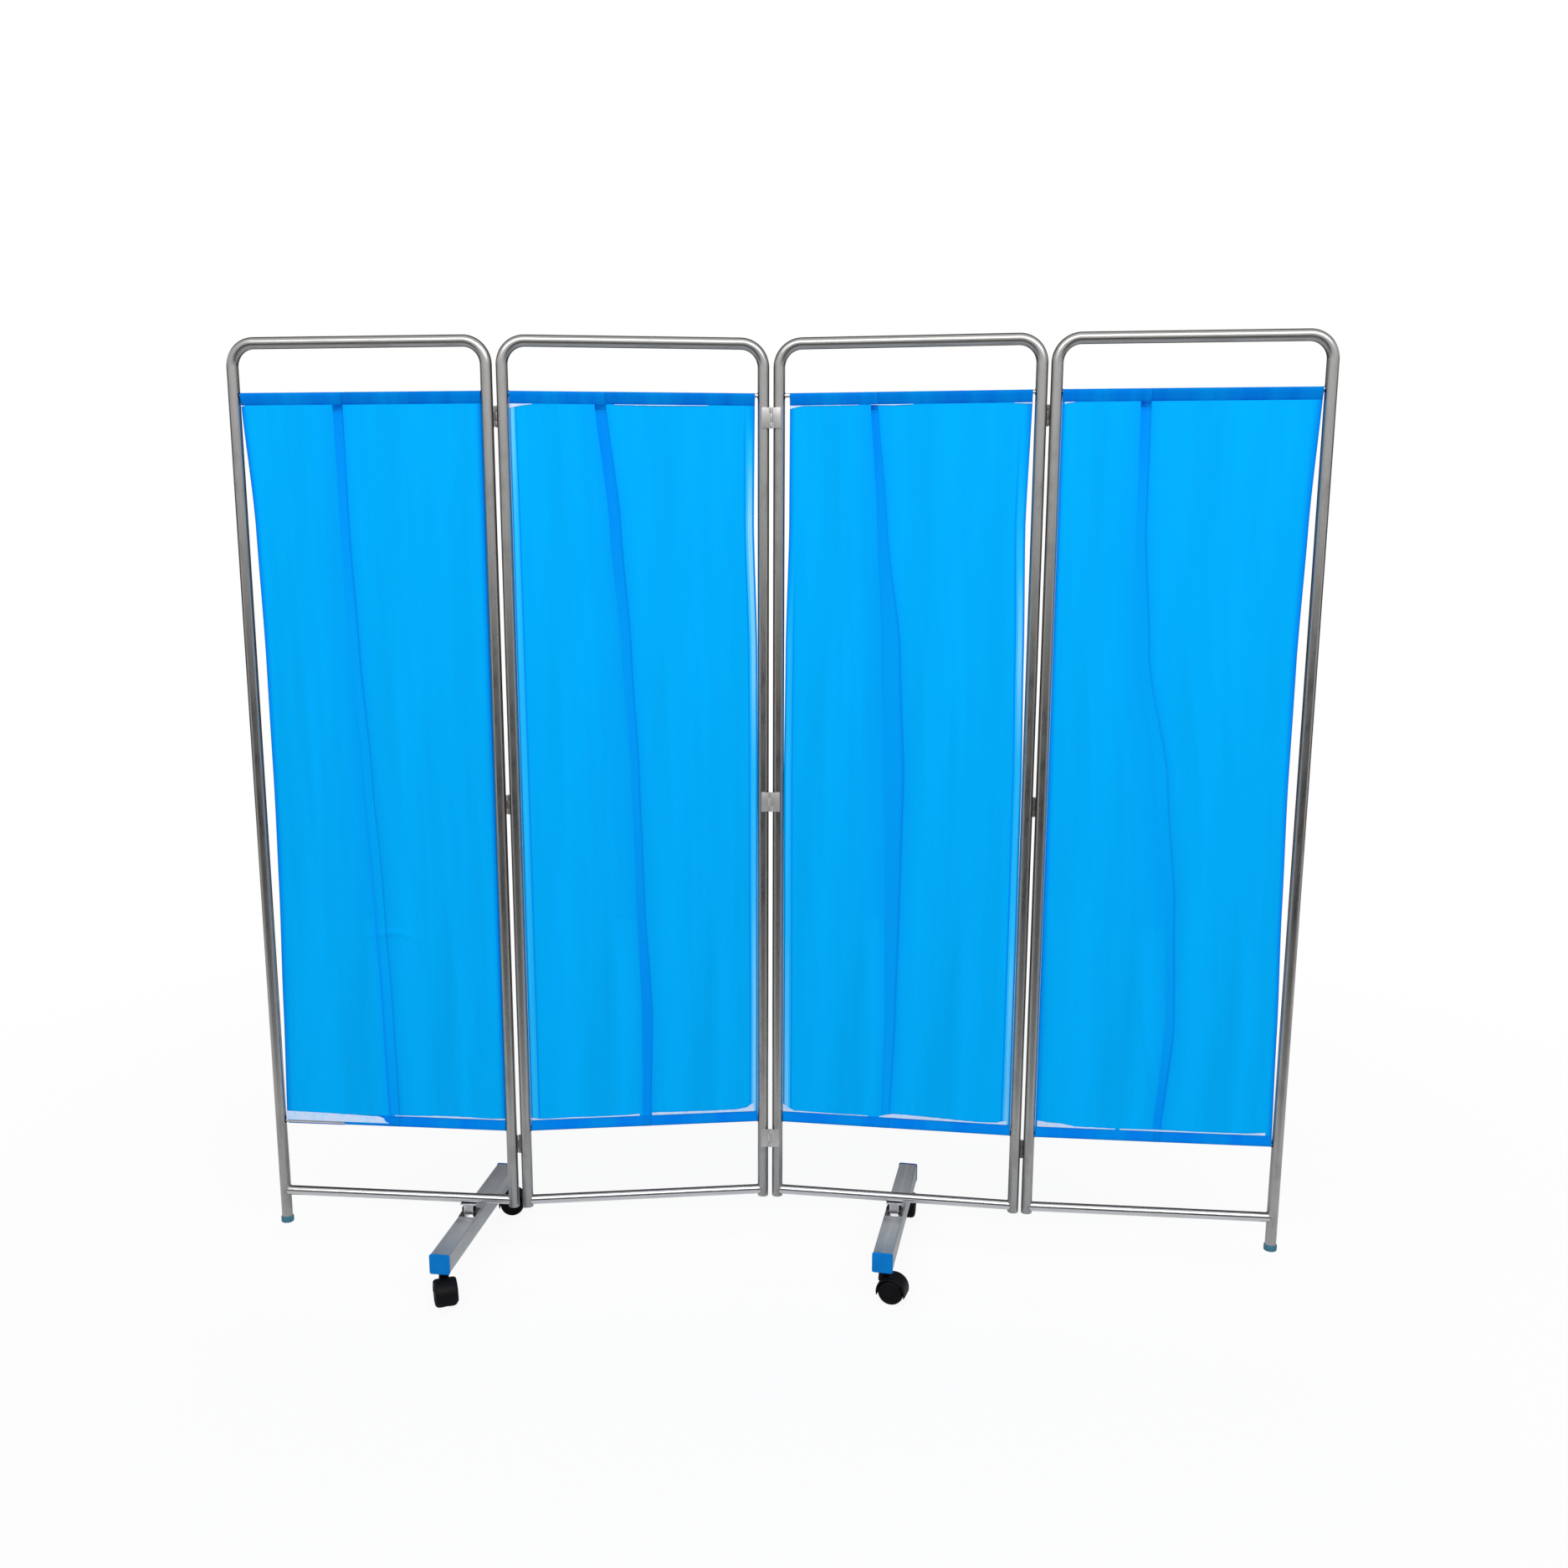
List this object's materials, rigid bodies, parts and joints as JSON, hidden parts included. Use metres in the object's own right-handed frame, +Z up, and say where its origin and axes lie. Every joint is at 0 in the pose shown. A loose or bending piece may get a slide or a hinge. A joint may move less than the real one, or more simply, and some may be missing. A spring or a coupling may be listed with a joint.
{
  "type": "ward privacy screen",
  "caption": "Folding ward screen: hinged steel tube panels with cloth curtains on rods, standing on castored base bars.",
  "frame": {"origin": "middle of the footprint, on the floor under the castor wheels", "axes": "+X along the row of panels from the viewer's left to right, +Y away from the viewer, +Z up"},
  "size_m": [1.9912, 0.4612, 1.8],
  "materials": {
    "satin_steel": "satin stainless tube",
    "bright_steel": "polished stainless",
    "bar_steel": "brushed stainless square tube",
    "azure_cloth": "thin plain cloth, slightly see-through",
    "blue_plastic": "moulded cap",
    "black_plastic": "moulded nylon",
    "black_tread": "moulded wheels and tread",
    "black_steel": "blackened bolt",
    "teal_rubber": "matt rubber foot"
  },
  "bodies": {
    "panel_1": {"panel_1_hoop": "satin_steel", "panel_1_cross_rail": "bright_steel", "panel_1_top_rod": "bright_steel", "panel_1_bottom_rod": "bright_steel", "panel_1_curtain": "azure_cloth", "panel_1_foot": "teal_rubber", "hinge_1_top_left_leaf": "satin_steel", "hinge_1_middle_left_leaf": "satin_steel", "hinge_1_bottom_left_leaf": "satin_steel", "base_bar_1": "bar_steel", "base_bar_1_front_cap": "blue_plastic", "base_bar_1_rear_cap": "blue_plastic", "base_bar_1_rail_bracket": "satin_steel", "base_bar_1_saddle": "bright_steel", "base_bar_1_bolt": "black_steel"},
    "panel_2": {"panel_2_hoop": "satin_steel", "panel_2_cross_rail": "bright_steel", "panel_2_top_rod": "bright_steel", "panel_2_bottom_rod": "bright_steel", "panel_2_curtain": "azure_cloth", "hinge_1_top_right_leaf": "satin_steel", "hinge_2_top_left_leaf": "satin_steel", "hinge_1_middle_right_leaf": "satin_steel", "hinge_2_middle_left_leaf": "satin_steel", "hinge_1_bottom_right_leaf": "satin_steel", "hinge_2_bottom_left_leaf": "satin_steel"},
    "panel_3": {"panel_3_hoop": "satin_steel", "panel_3_cross_rail": "bright_steel", "panel_3_top_rod": "bright_steel", "panel_3_bottom_rod": "bright_steel", "panel_3_curtain": "azure_cloth", "hinge_2_top_right_leaf": "satin_steel", "hinge_3_top_left_leaf": "satin_steel", "hinge_2_middle_right_leaf": "satin_steel", "hinge_3_middle_left_leaf": "satin_steel", "hinge_2_bottom_right_leaf": "satin_steel", "hinge_3_bottom_left_leaf": "satin_steel", "base_bar_3": "bar_steel", "base_bar_3_front_cap": "blue_plastic", "base_bar_3_rear_cap": "blue_plastic", "base_bar_3_rail_bracket": "satin_steel", "base_bar_3_saddle": "bright_steel", "base_bar_3_bolt": "black_steel"},
    "panel_4": {"panel_4_hoop": "satin_steel", "panel_4_cross_rail": "bright_steel", "panel_4_top_rod": "bright_steel", "panel_4_bottom_rod": "bright_steel", "panel_4_curtain": "azure_cloth", "panel_4_foot": "teal_rubber", "hinge_3_top_right_leaf": "satin_steel", "hinge_3_middle_right_leaf": "satin_steel", "hinge_3_bottom_right_leaf": "satin_steel"},
    "castor_1_front_fork": {"castor_1_front_housing": "black_plastic"},
    "castor_1_front_wheel_pair": {"castor_1_front_wheels": "black_tread"},
    "castor_1_rear_fork": {"castor_1_rear_housing": "black_plastic"},
    "castor_1_rear_wheel_pair": {"castor_1_rear_wheels": "black_tread"},
    "castor_3_front_fork": {"castor_3_front_housing": "black_plastic"},
    "castor_3_front_wheel_pair": {"castor_3_front_wheels": "black_tread"},
    "castor_3_rear_fork": {"castor_3_rear_housing": "black_plastic"},
    "castor_3_rear_wheel_pair": {"castor_3_rear_wheels": "black_tread"}
  },
  "joints": [
    {"name": "hinge_1_fold", "type": "hinge", "parent": "panel_1", "child": "panel_2", "pos_m": [-0.49716, -0.0176, 0.941], "axis": [0, 0, 1], "range_deg": [-12, 166]},
    {"name": "hinge_2_fold", "type": "hinge", "parent": "panel_2", "child": "panel_3", "pos_m": [0.00272, 0.01103, 0.941], "axis": [0, 0, 1], "range_deg": [-162.3, 15.7]},
    {"name": "hinge_3_fold", "type": "hinge", "parent": "panel_3", "child": "panel_4", "pos_m": [0.50032, -0.04459, 0.941], "axis": [0, 0, 1], "range_deg": [-3.2, 174.8]},
    {"name": "castor_1_front_swivel", "type": "hinge", "parent": "panel_1", "child": "castor_1_front_fork", "pos_m": [-0.62456, -0.18015, 0.06], "axis": [0, 0, 1], "continuous": true},
    {"name": "castor_1_front_roll", "type": "hinge", "parent": "castor_1_front_fork", "child": "castor_1_front_wheel_pair", "pos_m": [-0.61861, -0.19714, 0.025], "axis": [0.9438, 0.3305, 0], "continuous": true},
    {"name": "castor_1_rear_swivel", "type": "hinge", "parent": "panel_1", "child": "castor_1_rear_fork", "pos_m": [-0.57249, 0.20494, 0.06], "axis": [0, 0, 1], "continuous": true},
    {"name": "castor_1_rear_roll", "type": "hinge", "parent": "castor_1_rear_fork", "child": "castor_1_rear_wheel_pair", "pos_m": [-0.55451, 0.20567, 0.025], "axis": [-0.0401, 0.9992, 0], "continuous": true},
    {"name": "castor_3_front_swivel", "type": "hinge", "parent": "panel_3", "child": "castor_3_front_fork", "pos_m": [0.21968, -0.17483, 0.06], "axis": [0, 0, 1], "continuous": true},
    {"name": "castor_3_front_roll", "type": "hinge", "parent": "castor_3_front_fork", "child": "castor_3_front_wheel_pair", "pos_m": [0.23659, -0.18101, 0.025], "axis": [0.3437, 0.9391, 0], "continuous": true},
    {"name": "castor_3_rear_swivel", "type": "hinge", "parent": "panel_3", "child": "castor_3_rear_fork", "pos_m": [0.30114, 0.20514, 0.06], "axis": [0, 0, 1], "continuous": true},
    {"name": "castor_3_rear_roll", "type": "hinge", "parent": "castor_3_rear_fork", "child": "castor_3_rear_wheel_pair", "pos_m": [0.29737, 0.18754, 0.025], "axis": [0.9778, -0.2096, 0], "continuous": true}
  ]
}
